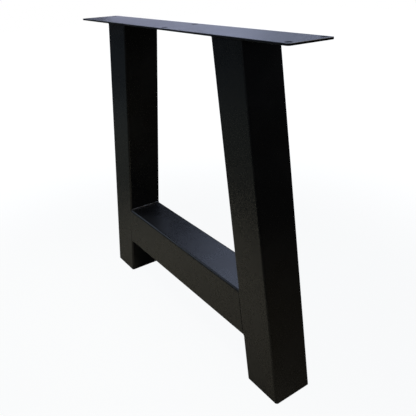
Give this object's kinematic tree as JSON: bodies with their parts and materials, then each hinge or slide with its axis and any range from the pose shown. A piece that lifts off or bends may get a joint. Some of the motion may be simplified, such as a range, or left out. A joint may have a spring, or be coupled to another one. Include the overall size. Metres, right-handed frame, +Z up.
{
  "type": "trestle table leg",
  "caption": "Welded steel end frame for a table: long flat mounting plate with plain screw holes, splayed square-tube legs and a box-section cross beam, black powder coat.",
  "frame": {"origin": "on the floor, under the middle of the mounting plate", "axes": "+X along the mounting plate, towards the end with the shorter overhang; +Y across the plate, along the table's length; +Z up"},
  "size_m": [0.8, 0.102, 0.71],
  "materials": {
    "black_powder_coat": "satin to matte black powder coat with a fine grain"
  },
  "bodies": {
    "root": {"mounting_plate": "black_powder_coat", "left_leg": "black_powder_coat", "right_leg": "black_powder_coat", "cross_beam": "black_powder_coat", "left_foot_cap": "black_powder_coat", "right_foot_cap": "black_powder_coat", "left_plate_weld": "black_powder_coat", "left_beam_top_weld": "black_powder_coat", "left_beam_underside_weld": "black_powder_coat", "left_front_seam_weld": "black_powder_coat", "left_back_seam_weld": "black_powder_coat", "right_plate_weld": "black_powder_coat", "right_beam_top_weld": "black_powder_coat", "right_beam_underside_weld": "black_powder_coat", "right_front_seam_weld": "black_powder_coat", "right_back_seam_weld": "black_powder_coat"}
  },
  "joints": []
}
